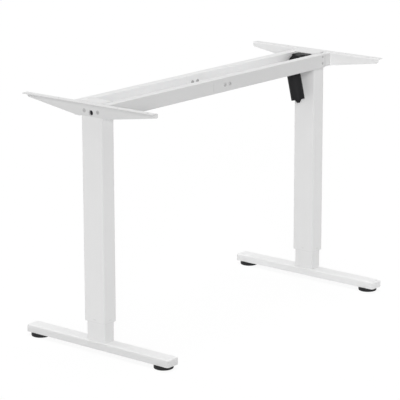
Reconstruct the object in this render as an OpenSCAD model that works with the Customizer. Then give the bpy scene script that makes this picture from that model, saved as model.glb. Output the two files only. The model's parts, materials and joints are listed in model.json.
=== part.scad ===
// Standing desk frame with two telescopic legs, one tilted motor and rails
// that draw out to the width of the desktop.
// Millimetres, +Z up. The origin is on the floor under the middle of the frame.
// +X points to the motor leg and +Y to the back of the desk.

/* [Frame] */
// Height of the desktop seat above the floor with the legs down
frame_h = 728; // [726:1:750]
// Distance between the two column centres with the rails pushed in
column_spacing = 981; // [970:1:1010]

/* [Columns] */
// Outer tube across the frame
tube_x = 50; // [48:0.5:52]
// Outer tube from front to back
tube_y = 75; // [72:1:80]
// Wall of the outer tube
tube_wall = 2; // [1.5:0.1:2.5]
// Outside radius of the tube corners
tube_corner = 3; // [2.5:0.5:4]
// Gap between the two tubes at the wide faces
slide_gap_x = 3; // [2:0.1:3.5]
// Gap between the two tubes at the narrow faces
slide_gap_y = 3; // [2:0.1:3.5]
// Wall of the inner tube
inner_wall = 2; // [1.5:0.1:2.5]
// Length of inner tube that shows above the foot with the legs down
leg_reveal = 59; // [50:1:80]
// Height of the glide collar inside the mouth of the outer tube
collar_h = 40; // [30:1:44]
// Rim of the collar that shows below the outer tube
collar_rim = 1.6; // [1:0.1:2.5]
// Width of the collar's catch windows
window_w = 9; // [7:0.5:12]
// Height of the collar's catch windows
window_h = 3.5; // [3:0.1:5]
// Height of the window centres above the tube's lower edge
window_rise = 7; // [6:0.5:10]
// Height of the slide pads at the top of the inner tube
pad_h = 50; // [40:1:55]
// Thickness of the plate that closes the column
cap_t = 3; // [2.5:0.1:4]

/* [Feet] */
// Length of a foot from front to back
foot_len = 540; // [500:5:640]
// Width of a foot
foot_w = 48; // [46:1:60]
// Height of the pressed foot shell
foot_h = 21.8; // [21:0.1:28]
// Wall of the foot shell
foot_wall = 2.5; // [2:0.1:3]
// Plan radius of the foot's corners
foot_corner = 6.5; // [6:0.5:14]
// Radius of the foot's upper edge
foot_edge = 6; // [4:0.5:6]
// Thickness of the stiffener under the foot's top wall
stiffener_t = 5; // [4:0.5:6]
// Distance from the foot's end to the glide screw
glide_inset = 35; // [31:1:50]
// Diameter of the levelling glides
glide_d = 56.5; // [50:0.5:60]
// Height of a glide disc
glide_h = 11.3; // [8:0.1:12]
// Distance that a glide screws out
glide_travel = 10; // [5:1:10]

/* [Desktop brackets] */
// Length of a bracket from front to back
bracket_len = 484; // [460:1:560]
// Width of the flange under the desktop
bracket_flange = 24; // [22:0.5:32]
// Depth of the web between the rails
bracket_depth = 41; // [38:0.5:46]
// Depth of the web at its tips
bracket_tip = 14.5; // [12:0.5:18]
// Length of the web at full depth
bracket_flat = 122; // [110:1:150]
// Thickness of the bracket plate
bracket_t = 2.5; // [2:0.1:3]
// Outside radius of the bracket's bend
bracket_bend = 4; // [3.5:0.1:5]
// Diameter of the desktop screw holes
desk_hole_d = 7; // [5:0.5:8]
// Distance from the bracket's tips to the outer desktop holes
desk_hole_inset = 24; // [16:1:30]
// Distance between the two inner desktop holes
desk_hole_gap = 220; // [180:5:260]
// Distance between the two screws that hold a bracket to its column
bracket_screw_gap = 50.4; // [46:0.1:54]
// Diameter of the frame's machine screws
screw_d = 6; // [5:1:6]

/* [Rails] */
// Height of the outer rails
rail_h = 42.5; // [38:0.5:46]
// Width of the outer rails
rail_w = 25; // [24:0.5:30]
// Wall of both rails
rail_wall = 1.5; // [1.2:0.1:2]
// Slip gap around the inner rails
rail_play = 0.4; // [0.3:0.05:0.5]
// Gap between the rails and the columns
rail_gap = 1.5; // [1:0.1:3]
// Length of the outer rails at the motor leg
sleeve_len = 543; // [460:1:560]
// Gap between the outer rails of both sides with the rails pushed in
joint_gap = 0.8; // [0.5:0.1:1.5]
// Length of inner rail that stays in the outer rail with the rails drawn out
rail_overlap = 98; // [90:1:150]
// Length of rail stub that shows beside the right bracket
stub_reveal = 30.5; // [20:0.5:36]
// Length of rail stub inside the outer rail
stub_grip = 40; // [30:1:42]
// Distance from the outer rail's mouth to its first lock bolt at the front
lock_inset_front = 50; // [45:1:60]
// Distance from the outer rail's mouth to its first lock bolt at the back
lock_inset_back = 25; // [22:1:60]
// Distance between the two lock bolts of a rail
lock_pitch = 23; // [20:1:30]

/* [Drive] */
// Depth of the drive line below the desktop seat
drive_drop = 30; // [29.5:0.1:32]
// Hexagonal drive shaft across its flats
shaft_af = 10; // [8:0.5:10]
// Play between the shaft and its hexagonal bores, across the flats
shaft_play = 0.4; // [0.3:0.05:0.5]
// Wall of the hexagonal drive tube
drive_tube_wall = 2; // [1.5:0.1:2.5]
// Teeth of each mitre gear
mitre_teeth = 16; // [14:2:18]
// Pitch radius of the mitre gears
mitre_r = 12; // [11.8:0.1:12.2]
// Diameter of the lifting spindles
spindle_d = 16; // [14:0.5:16]
// Distance from the plug in the leg's foot end to the spindle
spindle_gap = 112; // [100:1:180]
// Height of the drive nuts
nut_h = 30; // [24:1:32]
// Diameter of the motor
motor_d = 42.2; // [40:0.1:43]
// Length of the motor
motor_len = 84.9; // [70:0.1:90]
// Tilt of the motor, its lower end towards the front
motor_tilt = 13; // [10:1:14]
// Distance from the column's face to the motor's middle
motor_reach = 37.8; // [36:0.1:40]
// Teeth of the worm wheel
wheel_teeth = 36; // [30:2:40]
// Distance between the axes of the worm and its wheel
worm_gap = 20.5; // [20:0.1:21]
// Radius of the gear case
case_r = 28; // [27:0.5:28.5]

/* [Fits] */
// Gap between parts that slide on each other
slide_play = 0.3; // [0.2:0.05:0.35]
// Radial gap between a shaft and its bearing
running_play = 0.05; // [0.03:0.01:0.08]

/* [Hidden] */
$fn = 48;
overrun = 1;
arc_steps = 6;
half = 0.5;

white = [0.93, 0.93, 0.93];
pale = [0.8, 0.8, 0.8];
black = [0.12, 0.12, 0.13];
steel = [0.66, 0.67, 0.69];
brass = [0.78, 0.64, 0.36];
nylon = [0.2, 0.2, 0.21];

// Places along X
column_x = column_spacing * half;
face_in = column_x - tube_x * half;
face_out = column_x + tube_x * half;

// Places along Z
foot_z = glide_h + slide_play;
foot_top = foot_z + foot_h;
tube_z = foot_top + leg_reveal;
tube_top = frame_h - cap_t;
drive_z = frame_h - drive_drop;

// Sections of the inner tube and of what slides in the gap
inner_x = tube_x - (tube_wall + slide_gap_x) * 2;
inner_y = tube_y - (tube_wall + slide_gap_y) * 2;
inner_corner = tube_corner - tube_wall;
bore_x = tube_x - tube_wall * 2;
bore_y = tube_y - tube_wall * 2;
core_x = inner_x - inner_wall * 2;
core_y = inner_y - inner_wall * 2;
core_corner = max(inner_corner - inner_wall, inner_corner * half);

// Gear block in the head of each column
block_x = bore_x - slide_play * 2;
block_y = bore_y - slide_play * 2;
bush_wall = 1.5;
hub_r = (shaft_af + shaft_play) / sqrt(3) + bush_wall;
mitre_face = 5;
mitre_back = 4;
mitre_back_r = mitre_r - mitre_back * half * half;
mitre_tip_share = 1.09;
mitre_root_share = 0.9;
mitre_small_share = 1 - mitre_face / (mitre_r * sqrt(2));
chamber_gap = 0.6;
chamber_x = mitre_r + mitre_back + chamber_gap;
chamber_top = mitre_r * mitre_tip_share + chamber_gap;
bearing_h = 8;
bearing_r = 13;
journal_r = 5;
ledge_t = 8;
block_lip = 5;
bearing_top = -chamber_x - ledge_t;
bearing_low = bearing_top - bearing_h;
block_low = bearing_low - block_lip;
screw_rise = 4;
screw_depth = 15;
drive_hole_r = hub_r;

// Inner tube, nut and spindle
block_clear = 10;
inner_top = drive_z + block_low - block_clear;
pad_drop = 4;
nut_low = inner_top - nut_h;
plug_h = 15;
spindle_run = 6;
spindle_stop_h = 4;
spindle_stop_step = 2;
spindle_low = foot_top + plug_h + spindle_gap;
spindle_stop_r = spindle_d * half + spindle_stop_step;

// Height that the legs lift the frame
lift_travel = nut_low - spindle_run - spindle_stop_h - spindle_low;

// Rails
rail_in = tube_y * half + rail_gap;
rail_mid = rail_in + rail_w * half;
rail_z = frame_h - rail_h * half;
slim_w = rail_w - (rail_wall + rail_play) * 2;
slim_h = rail_h - (rail_wall + rail_play) * 2;
rail_corner = 2.5;
slim_corner = rail_corner - rail_wall;
sleeve_right = face_out - stub_reveal;
sleeve_left = sleeve_right - sleeve_len;
stub_left = sleeve_right - stub_grip;
slim_clear = 5;
slim_right = stub_left - slim_clear;

// Distance that the rails draw out
width_travel = slim_right - sleeve_left - rail_overlap;
shoe_t = 3;
slot_play = 0.3;
slot_h = screw_d + slot_play * 2;
lock_head_r = 5.2;
lock_head_h = 3.2;
lock_nut_h = 5;
lock_nut_af = 10;
rail_screw_inset = 12;
rail_screw_upper = 7.5;
rail_screw_lower = 28;

// Drive shaft and drive tube
shaft_recess = 12;
tube_seat = 4;
shaft_seat = 8;
shaft_left = -face_in + tube_seat + shaft_seat;
tube_engage = 60;
drive_tube_af = shaft_af + shaft_play + drive_tube_wall * 2;
drive_tube_right = -face_in + tube_seat + width_travel + tube_engage;
collar_len = 12;
collar_r = 12;

// Motor and its worm gear
motor_x = face_in - motor_reach;
case_half = 7.5;
case_wall = 1.5;
lid_t = 2;
wheel_half = 3;
worm_r = 4.8;
worm_starts = 2;
wheel_r = worm_gap - worm_r;
worm_lead = wheel_r * PI * 2 * worm_starts / wheel_teeth;
tooth_share = 0.94;
worm_tooth = wheel_r * 2 / wheel_teeth * tooth_share;
worm_journal_r = worm_r - worm_tooth * 3 / 2;
wheel_tip = wheel_r + worm_tooth - worm_tooth / 10;
wheel_root = wheel_r - worm_tooth - worm_tooth / 5;
wheel_room = wheel_tip + chamber_gap;
lid_r = wheel_room + case_wall * half;
worm_half = 9;
worm_room = worm_r + worm_tooth + chamber_gap;
worm_room_top = worm_half + chamber_gap;
worm_case_r = worm_room + case_wall;
worm_case_top = worm_room_top + case_wall * 3;
can_drop = 24.9;
bell_h = 14;
shaft_in_motor = 6;
neck_r = hub_r + case_wall * 2;
foot_plate_t = 3;
boss_len = 10.8;
boss_r = 11;
boss_tip_r = 5;
hood_y = 27;
hood_len = 29;
hood_low = screw_rise + screw_d * 4 / 3;
hood_corner = 4;

// Shared shapes

// Points of a rectangle with round corners, centred on the origin
function round_rect(x, y, r) = [
    for (corner = [0:3])
        for (step = [0:arc_steps])
            let (
                sx = (corner == 0 || corner == 3) ? 1 : -1,
                sy = (corner < 2) ? 1 : -1,
                turn = corner * 90 + step * 90 / arc_steps
            )
            [sx * (x * half - r) + r * cos(turn), sy * (y * half - r) + r * sin(turn)]
];

module bar(x, y, r, h) {
    linear_extrude(h)
        polygon(round_rect(x, y, r));
}

// Rectangular tube along Z
module box_tube(x, y, r, wall, h) {
    difference() {
        bar(x, y, r, h);
        translate([0, 0, -overrun])
            bar(x - wall * 2, y - wall * 2, max(r - wall, r / 4), h + overrun * 2);
    }
}

// Rectangular tube along X, from its left end
module rail_tube(w, h, r, wall, len) {
    rotate([90, 0, 90])
        box_tube(w, h, r, wall, len);
}

// Round bar along X, centred on the axis
module x_rod(r, from, to) {
    translate([from, 0, 0])
        rotate([0, 90, 0])
            cylinder(r = r, h = to - from);
}

// Hexagonal bar along X with its flats at front and back
module x_hex(af, from, to) {
    translate([from, 0, 0])
        rotate([0, 90, 0])
            cylinder(d = af / cos(30), h = to - from, $fn = 6);
}

// Both ends of a row along X or Y
module mirrored_x() {
    children();
    mirror([1, 0, 0])
        children();
}

module mirrored_y() {
    children();
    mirror([0, 1, 0])
        children();
}

// Right and left copies of a piece modelled at a column's middle
module at_right() {
    translate([column_x, 0, 0])
        children();
}

module at_left() {
    translate([-column_x, 0, 0])
        children();
}

module at_left_mirrored() {
    mirror([1, 0, 0])
        at_right()
            children();
}

// Feet

// Half outline of the foot's section: a wall that turns into the top by an arc
function edge_profile(reach, h, r) = concat(
    [[0, 0], [reach, 0]],
    [for (step = [0:arc_steps])
        [reach - r + r * cos(step * 90 / arc_steps), h - r + r * sin(step * 90 / arc_steps)]],
    [[0, h]]
);

// Solid with round plan corners and a round upper edge
module pressed_form(len, w, h, corner, edge) {
    end_y = len * half - corner;
    side_x = w * half - corner;
    mirrored_x()
        rotate([90, 0, 0])
            translate([0, 0, -end_y])
                linear_extrude(end_y * 2)
                    polygon(edge_profile(w * half, h, edge));
    mirrored_y()
        translate([0, end_y, 0]) {
            rotate([90, 0, 90])
                translate([0, 0, -side_x])
                    linear_extrude(side_x * 2)
                        polygon(edge_profile(corner, h, edge));
            mirrored_x()
                translate([side_x, 0, 0])
                    rotate_extrude(angle = 90)
                        polygon(edge_profile(corner, h, edge));
        }
}

foot_screw_x = core_x * half - screw_d * 4 / 3;
foot_screw_y = core_y * half - screw_d * 3 / 2;

module at_foot_screws() {
    mirrored_x()
        mirrored_y()
            translate([foot_screw_x, foot_screw_y, 0])
                children();
}

module foot() {
    screw_hole_d = screw_d + slide_play * 2;
    color(white)
        difference() {
            translate([0, 0, foot_z])
                pressed_form(foot_len, foot_w, foot_h, foot_corner, foot_edge);
            translate([0, 0, foot_z - foot_wall])
                pressed_form(
                    foot_len - foot_wall * 2, foot_w - foot_wall * 2, foot_h,
                    foot_corner - foot_wall, foot_edge - foot_wall
                );
            at_foot_screws()
                translate([0, 0, foot_z])
                    cylinder(d = screw_hole_d, h = foot_h + overrun);
        }
}

glide_y = foot_len * half - glide_inset;
stem_r = 4;
insert_r = 8;
insert_h = foot_h - foot_wall - foot_wall * 3 / 2;
stiffener_top = foot_top - foot_wall;

module foot_stiffener() {
    margin = foot_edge - foot_wall;
    color(steel)
        difference() {
            union() {
                translate([0, 0, stiffener_top - stiffener_t])
                    bar(
                        foot_w - (foot_wall + margin) * 2, glide_y * 2 + insert_r * 3,
                        foot_corner - foot_wall, stiffener_t
                    );
                mirrored_y()
                    translate([0, glide_y, stiffener_top - insert_h])
                        cylinder(r = insert_r, h = insert_h);
            }
            mirrored_y()
                translate([0, glide_y, stiffener_top - insert_h - overrun])
                    cylinder(r = stem_r + running_play, h = insert_h + overrun * 2);
            at_foot_screws()
                translate([0, 0, stiffener_top - stiffener_t - overrun])
                    cylinder(d = screw_d + slide_play * 2, h = stiffener_t + overrun * 2);
        }
}

module foot_screws() {
    head_h = screw_d * 2 / 3;
    seat = stiffener_top - stiffener_t;
    grip = stiffener_t + foot_wall + plug_h * 4 / 5;
    color(steel)
        at_foot_screws()
            translate([0, 0, seat]) {
                cylinder(d = screw_d, h = grip);
                translate([0, 0, -head_h])
                    cylinder(d = screw_d * 5 / 3, h = head_h);
            }
}

module tube_plug() {
    color(steel)
        difference() {
            translate([0, 0, foot_top])
                bar(core_x, core_y, core_corner, plug_h);
            at_foot_screws()
                translate([0, 0, foot_top - overrun])
                    cylinder(d = screw_d + running_play * 2, h = plug_h + overrun * 2);
        }
}

module glide() {
    rim = glide_h / 5;
    stem_top = stiffener_top - slide_play;
    color(black)
        rotate_extrude()
            polygon([
                [0, 0],
                [glide_d * half - rim, 0],
                [glide_d * half, rim],
                [glide_d * half, glide_h - rim * half],
                [glide_d * half - rim * half, glide_h],
                [stem_r, glide_h],
                [stem_r, stem_top],
                [0, stem_top]
            ]);
}

// Legs

module inner_tube() {
    color(white)
        difference() {
            translate([0, 0, foot_top])
                box_tube(inner_x, inner_y, inner_corner, inner_wall, inner_top - foot_top);
            pad_pins(inner_wall + overrun, overrun);
        }
}

pad_top = inner_top - pad_drop;
pin_r = 4;

// Round snaps that hold the slide pads, two on each wide face
module pad_pins(depth, proud) {
    mirrored_x()
        mirrored_y()
            translate([0, inner_y / 4, pad_top - pad_h * half])
                x_rod(pin_r, inner_x * half - depth, inner_x * half + proud);
}

module slide_pads() {
    out_x = bore_x - slide_play * 2;
    out_y = bore_y - slide_play * 2;
    color(nylon) {
        difference() {
            translate([0, 0, pad_top - pad_h])
                bar(out_x, out_y, inner_corner, pad_h);
            translate([0, 0, pad_top - pad_h - overrun])
                bar(inner_x, inner_y, inner_corner, pad_h + overrun * 2);
        }
        pad_pins(inner_wall, 0);
    }
}

module drive_nut() {
    color(nylon)
        difference() {
            translate([0, 0, nut_low])
                bar(core_x, core_y, core_corner, nut_h);
            translate([0, 0, nut_low - overrun])
                cylinder(d = spindle_d + running_play * 2, h = nut_h + overrun * 2);
            mirrored_y()
                translate([0, core_y * half - core_y / 8, nut_low - overrun])
                    cylinder(d = core_y / 7, h = nut_h - nut_h / 5);
        }
}

// Window places on the four faces of the outer tube
module at_windows() {
    for (side = [0:3]) {
        reach = (side % 2 == 0) ? tube_x * half : tube_y * half;
        rotate([0, 0, side * 90])
            translate([reach - tube_wall, 0, tube_z + window_rise])
                children();
    }
}

module window_block(w, h, depth) {
    translate([0, -w * half, -h * half])
        cube([depth, w, h]);
}

module outer_tube() {
    color(white)
        difference() {
            translate([0, 0, tube_z])
                box_tube(tube_x, tube_y, tube_corner, tube_wall, tube_top - tube_z);
            at_windows()
                window_block(window_w, window_h, tube_wall + overrun);
            translate([0, 0, drive_z])
                x_rod(drive_hole_r + running_play, -tube_x, tube_x);
            mirrored_y()
                translate([0, bracket_screw_gap * half, drive_z + screw_rise])
                    x_rod((screw_d + slide_play) * half, -tube_x, tube_x);
        }
}

module glide_collar() {
    rim_x = tube_x - tube_wall;
    rim_y = tube_y - tube_wall;
    catch_play = slide_play * half;
    color(pale) {
        difference() {
            union() {
                translate([0, 0, tube_z])
                    bar(bore_x, bore_y, inner_corner, collar_h);
                translate([0, 0, tube_z - collar_rim])
                    bar(rim_x, rim_y, tube_corner - tube_wall * half, collar_rim);
            }
            translate([0, 0, tube_z - collar_rim - overrun])
                bar(
                    inner_x + slide_play * 2, inner_y + slide_play * 2,
                    inner_corner, collar_h + collar_rim + overrun * 2
                );
        }
        at_windows()
            window_block(window_w - catch_play * 2, window_h - catch_play * 2, tube_wall * 3 / 4);
    }
}

module column_cap() {
    color(white)
        translate([0, 0, tube_top])
            bar(tube_x, tube_y, tube_corner, cap_t);
}

// Desktop brackets

// Section of the bent plate: web at the column, flange outwards under the desktop
module bracket_section() {
    inner_bend = bracket_bend - bracket_t;
    difference() {
        union() {
            translate([bracket_bend, -bracket_t])
                square([bracket_flange - bracket_bend, bracket_t]);
            translate([0, -bracket_depth])
                square([bracket_t, bracket_depth - bracket_bend]);
            intersection() {
                translate([bracket_bend, -bracket_bend])
                    circle(r = bracket_bend);
                translate([0, -bracket_bend])
                    square([bracket_bend, bracket_bend]);
            }
        }
        translate([bracket_bend, -bracket_bend])
            circle(r = inner_bend);
    }
}

// Side view of the bracket: full depth at the rails, tapering to the tips
module bracket_outline() {
    end_y = bracket_len * half;
    flat_y = bracket_flat * half;
    nose = bracket_tip / 4;
    polygon([
        [-end_y, overrun],
        [end_y, overrun],
        [end_y, -bracket_tip + nose],
        [end_y - nose, -bracket_tip],
        [flat_y, -bracket_depth],
        [-flat_y, -bracket_depth],
        [nose - end_y, -bracket_tip],
        [-end_y, -bracket_tip + nose]
    ]);
}

desk_hole_x = tube_x * half + bracket_flange - (bracket_flange - bracket_bend) * half;

module bracket() {
    flange_round = bracket_flange / 12;
    outer_y = bracket_len * half - desk_hole_inset;
    color(white)
        difference() {
            intersection() {
                translate([tube_x * half, bracket_len * half, frame_h])
                    rotate([90, 0, 0])
                        linear_extrude(bracket_len)
                            bracket_section();
                translate([tube_x * half - overrun, 0, frame_h])
                    rotate([90, 0, 90])
                        linear_extrude(bracket_flange + overrun * 2)
                            bracket_outline();
                translate([tube_x * half + bracket_flange * half - flange_round, 0, 0])
                    translate([0, 0, frame_h - bracket_depth - overrun])
                        bar(
                            bracket_flange + flange_round * 2, bracket_len,
                            flange_round, bracket_depth + overrun * 2
                        );
            }
            for (hole_y = [outer_y, desk_hole_gap * half])
                mirrored_y()
                    translate([desk_hole_x, hole_y, frame_h - bracket_depth])
                        cylinder(d = desk_hole_d, h = bracket_depth + overrun);
            translate([0, 0, drive_z])
                x_rod(drive_hole_r + running_play, tube_x / 4, tube_x);
            mirrored_y()
                translate([0, bracket_screw_gap * half, drive_z + screw_rise])
                    x_rod(screw_d * half + slide_play, tube_x / 4, tube_x);
            mirrored_y()
                translate([tube_x * half + bracket_t, bracket_screw_gap * half, drive_z + screw_rise])
                    screw_cone();
        }
}

// Countersunk head of a machine screw, its flat face at x = 0
module screw_cone() {
    head_h = bracket_t * 4 / 5;
    rotate([0, -90, 0])
        cylinder(r1 = screw_d, r2 = screw_d * half, h = head_h);
}

module bracket_screws() {
    grip = screw_depth * 4 / 5 + tube_wall + slide_play;
    color(white)
        mirrored_y()
            translate([tube_x * half + bracket_t, bracket_screw_gap * half, drive_z + screw_rise]) {
                difference() {
                    screw_cone();
                    x_hex(screw_d * 2 / 3, -bracket_t * half, overrun);
                }
                x_rod(screw_d * half, -bracket_t - grip, -bracket_t * 4 / 5);
            }
}

// Drive heads

module block_halves(low, high) {
    color(steel)
        translate([0, 0, drive_z])
            difference() {
                translate([0, 0, low])
                    bar(block_x, block_y, inner_corner, high - low);
                translate([-chamber_x, -chamber_top, -chamber_x])
                    cube([chamber_x * 2, chamber_top * 2, chamber_x + chamber_top]);
                x_rod(hub_r + running_play, -tube_x, tube_x);
                translate([0, 0, block_low - overrun])
                    cylinder(r = bearing_r, h = bearing_top - block_low + overrun);
                translate([0, 0, bearing_top - overrun])
                    cylinder(r = journal_r + chamber_gap, h = ledge_t + overrun * 2);
                mirrored_x()
                    mirrored_y()
                        translate([0, bracket_screw_gap * half, screw_rise])
                            x_rod(
                                screw_d * half + running_play,
                                block_x * half - screw_depth, block_x
                            );
            }
}

// The halves part at the drive shaft so that the gears can be laid in
module gear_block() {
    block_halves(block_low, 0);
}

module gear_block_lid() {
    block_halves(0, drive_drop - cap_t);
}

module spindle_bearing() {
    groove = bearing_h / 8;
    color(steel)
        translate([0, 0, drive_z + bearing_low])
            difference() {
                cylinder(r = bearing_r, h = bearing_h);
                translate([0, 0, -overrun])
                    cylinder(r = journal_r + running_play, h = bearing_h + overrun * 2);
                for (end = [-groove, bearing_h - groove])
                    translate([0, 0, end])
                        difference() {
                            cylinder(r = bearing_r - groove * 2, h = groove * 2);
                            cylinder(r = journal_r + groove * 3, h = groove * 2);
                        }
            }
}

// Spindle with its stop ring at the lower end and its journal at the top
module spindle() {
    shoulder = drive_z + bearing_low - running_play;
    journal_top = drive_z - mitre_r * mitre_small_share - chamber_gap;
    color(steel)
        rotate_extrude()
            polygon([
                [0, spindle_low],
                [spindle_stop_r, spindle_low],
                [spindle_stop_r, spindle_low + spindle_stop_h],
                [spindle_d * half, spindle_low + spindle_stop_h],
                [spindle_d * half, shoulder],
                [journal_r, shoulder],
                [journal_r, journal_top],
                [0, journal_top]
            ]);
}

// Outline of a mitre gear at its large end
mitre_tooth_shares = [[-0.34, 0], [-0.15, 1], [0.15, 1], [0.34, 0]];

function mitre_points() = [
    for (tooth = [0:mitre_teeth - 1])
        for (corner = mitre_tooth_shares)
            let (
                turn = (tooth + corner[0]) * 360 / mitre_teeth,
                root = mitre_r * mitre_root_share,
                r = root + (mitre_r * mitre_tip_share - root) * corner[1]
            )
            [r * cos(turn), r * sin(turn)]
];

// Mitre gear on the Z axis below its cone's point at the origin
module mitre_gear(phase) {
    translate([0, 0, -mitre_r])
        rotate([0, 0, phase * 360 / mitre_teeth])
            linear_extrude(mitre_r * (1 - mitre_small_share), scale = mitre_small_share)
                polygon(mitre_points());
    translate([0, 0, -mitre_r - mitre_back])
        cylinder(r = mitre_back_r, h = mitre_back);
}

module spindle_gear() {
    color(steel)
        translate([0, 0, drive_z])
            difference() {
                mitre_gear(0);
                translate([0, 0, -mitre_r - mitre_back - overrun])
                    cylinder(r = journal_r, h = mitre_r + mitre_back);
            }
}

module drive_gear() {
    color(black)
        translate([0, 0, drive_z])
            difference() {
                union() {
                    rotate([0, 90, 0])
                        mitre_gear(half);
                    x_rod(hub_r, -block_x * half, block_x * half);
                }
                x_hex(shaft_af + shaft_play, -tube_x, tube_x);
            }
}

// Rails

module at_rails() {
    for (side = [-1, 1])
        translate([0, side * rail_mid, rail_z])
            children();
}

function lock_bolt_x(side) = [
    for (step = [0:1])
        sleeve_left + (side < 0 ? lock_inset_front : lock_inset_back) + lock_pitch * step
];

module y_rod(r, from, to) {
    translate([0, from, 0])
        rotate([-90, 0, 0])
            cylinder(r = r, h = to - from);
}

rail_screw_places = [rail_h * half - rail_screw_upper, rail_h * half - rail_screw_lower];

module outer_rail(side) {
    color(white)
        translate([0, side * rail_mid, rail_z])
            difference() {
                translate([sleeve_left, 0, 0])
                    rail_tube(rail_w, rail_h, rail_corner, rail_wall, sleeve_len);
                for (x = lock_bolt_x(side))
                    translate([x, 0, 0])
                        y_rod(screw_d * half + slot_play, -rail_w, rail_w);
                for (z = rail_screw_places)
                    translate([sleeve_right - rail_screw_inset, 0, z])
                        y_rod(screw_d / 3 + slot_play, -rail_w, 0);
            }
}

module inner_rail(side) {
    slot_from = lock_bolt_x(side)[0];
    slot_to = lock_bolt_x(side)[1] + width_travel;
    color(white)
        translate([0, side * rail_mid, rail_z])
            difference() {
                translate([-face_out, 0, 0])
                    rail_tube(slim_w, slim_h, slim_corner, rail_wall, slim_right - shoe_t + face_out);
                for (x = [slot_from, slot_to])
                    translate([x, 0, 0])
                        y_rod(slot_h * half, -rail_w, rail_w);
                translate([slot_from, -rail_w, -slot_h * half])
                    cube([slot_to - slot_from, rail_w * 2, slot_h]);
            }
}

// Outer rail of the left leg, pressed onto the inner rail
module left_rail(side) {
    rail_end = sleeve_left - joint_gap;
    color(white)
        translate([-face_out, side * rail_mid, rail_z])
            rail_tube(rail_w, rail_h, rail_corner, rail_wall + rail_play, rail_end + face_out);
}

// Plastic shoes that close the ends of the inner rails
module rail_shoes() {
    spigot = shoe_t * 3;
    core_w = slim_w - rail_wall * 2;
    core_h = slim_h - rail_wall * 2;
    color(black)
        at_rails()
            translate([slim_right - shoe_t, 0, 0]) {
                rotate([90, 0, 90])
                    bar(slim_w, slim_h, slim_corner, shoe_t);
                translate([-spigot, 0, 0])
                    rotate([90, 0, 90])
                        bar(core_w, core_h, slim_corner / 4, spigot);
            }
}

module rail_stubs() {
    color(white)
        at_rails()
            difference() {
                translate([stub_left, 0, 0])
                    rail_tube(slim_w, slim_h, slim_corner, rail_wall * 2, face_out - stub_left);
                for (z = rail_screw_places)
                    translate([sleeve_right - rail_screw_inset, 0, z])
                        y_rod(screw_d / 3 + running_play, -rail_w, 0);
            }
}

module stub_screws() {
    color(white)
        at_rails()
            for (z = rail_screw_places)
                translate([sleeve_right - rail_screw_inset, -rail_w * half, z]) {
                    y_rod(screw_d / 3, 0, rail_wall * 3 + rail_play);
                    y_rod(screw_d * 2 / 3, -rail_wall, 0);
                }
}

module at_lock_bolts() {
    for (side = [-1, 1])
        for (x = lock_bolt_x(side))
            translate([x, side * rail_mid, rail_z])
                children();
}

module lock_bolts() {
    tail = rail_w * half + lock_nut_h + overrun;
    color(black)
        at_lock_bolts()
            difference() {
                union() {
                    y_rod(screw_d * half, -rail_w * half, tail);
                    y_rod(lock_head_r, -rail_w * half - lock_head_h, -rail_w * half);
                }
                translate([0, -rail_w * half - lock_head_h - overrun, 0])
                    rotate([-90, 0, 0])
                        cylinder(d = screw_d * 3 / 4, h = lock_head_h, $fn = 6);
            }
}

module lock_nuts() {
    color(black)
        at_lock_bolts()
            translate([0, rail_w * half, 0])
                rotate([-90, 0, 0])
                    difference() {
                        cylinder(d = lock_nut_af / cos(30), h = lock_nut_h, $fn = 6);
                        translate([0, 0, -overrun])
                            cylinder(d = screw_d, h = lock_nut_h + overrun * 2);
                    }
}

// Drive line

module drive_shaft() {
    shaft_right = column_x + block_x * half - shaft_recess;
    color(steel)
        translate([0, 0, drive_z])
            x_hex(shaft_af, shaft_left, shaft_right);
}

// Hexagonal tube with a solid end that fits the left drive gear
module drive_tube() {
    tube_left = -face_in + tube_seat;
    stub_end = -column_x - block_x * half + shaft_recess;
    color(steel)
        translate([0, 0, drive_z])
            difference() {
                union() {
                    x_hex(drive_tube_af, tube_left, drive_tube_right);
                    x_hex(shaft_af, stub_end, tube_left + overrun);
                }
                x_hex(shaft_af + shaft_play, tube_left + tube_seat, drive_tube_right + overrun);
            }
}

module drive_tube_collar() {
    right = drive_tube_right + collar_len / 6;
    color(black)
        translate([0, 0, drive_z])
            difference() {
                union() {
                    x_rod(collar_r, right - collar_len, right);
                    translate([right - collar_len * half, 0, 0])
                        cylinder(d = collar_len * half, h = collar_r + collar_len / 4);
                }
                x_hex(drive_tube_af, right - collar_len - overrun, drive_tube_right);
                x_hex(shaft_af + shaft_play, right - collar_len, right + overrun);
            }
}

// Worm gear and motor

module at_motor() {
    translate([motor_x, 0, drive_z])
        children();
}

// Frame of the worm: its axis runs along Z at y = worm_gap
module in_worm_frame() {
    at_motor()
        rotate([-motor_tilt, 0, 0])
            translate([0, worm_gap, 0])
                children();
}

// Outline of the worm wheel, with a gap on the +X axis
wheel_tooth_shares = [[-0.26, 0], [-0.11, 1], [0.11, 1], [0.26, 0]];

function wheel_points() = [
    for (tooth = [0:wheel_teeth - 1])
        for (corner = wheel_tooth_shares)
            let (
                turn = (tooth + half + corner[0]) * 360 / wheel_teeth,
                r = wheel_root + (wheel_tip - wheel_root) * corner[1]
            )
            [r * cos(turn), r * sin(turn)]
];

// Turn of the wheel's teeth across its width, along the worm's helix
wheel_twist = wheel_half * 2 * worm_lead / (PI * 2 * worm_r) / wheel_r * 180 / PI;

module worm_wheel() {
    hub_left = -case_half - lid_t;
    hub_right = motor_reach - foot_plate_t;
    color(brass)
        at_motor()
            difference() {
                union() {
                    rotate([-motor_tilt, 0, 0])
                        rotate([90, 0, 90])
                            translate([0, 0, -wheel_half])
                                rotate([0, 0, -wheel_twist * half])
                                    linear_extrude(wheel_half * 2, twist = -wheel_twist, slices = 2)
                                        polygon(wheel_points());
                    x_rod(hub_r, hub_left, hub_right);
                }
                x_hex(shaft_af + shaft_play, hub_left - overrun, hub_right + overrun);
            }
}

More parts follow.
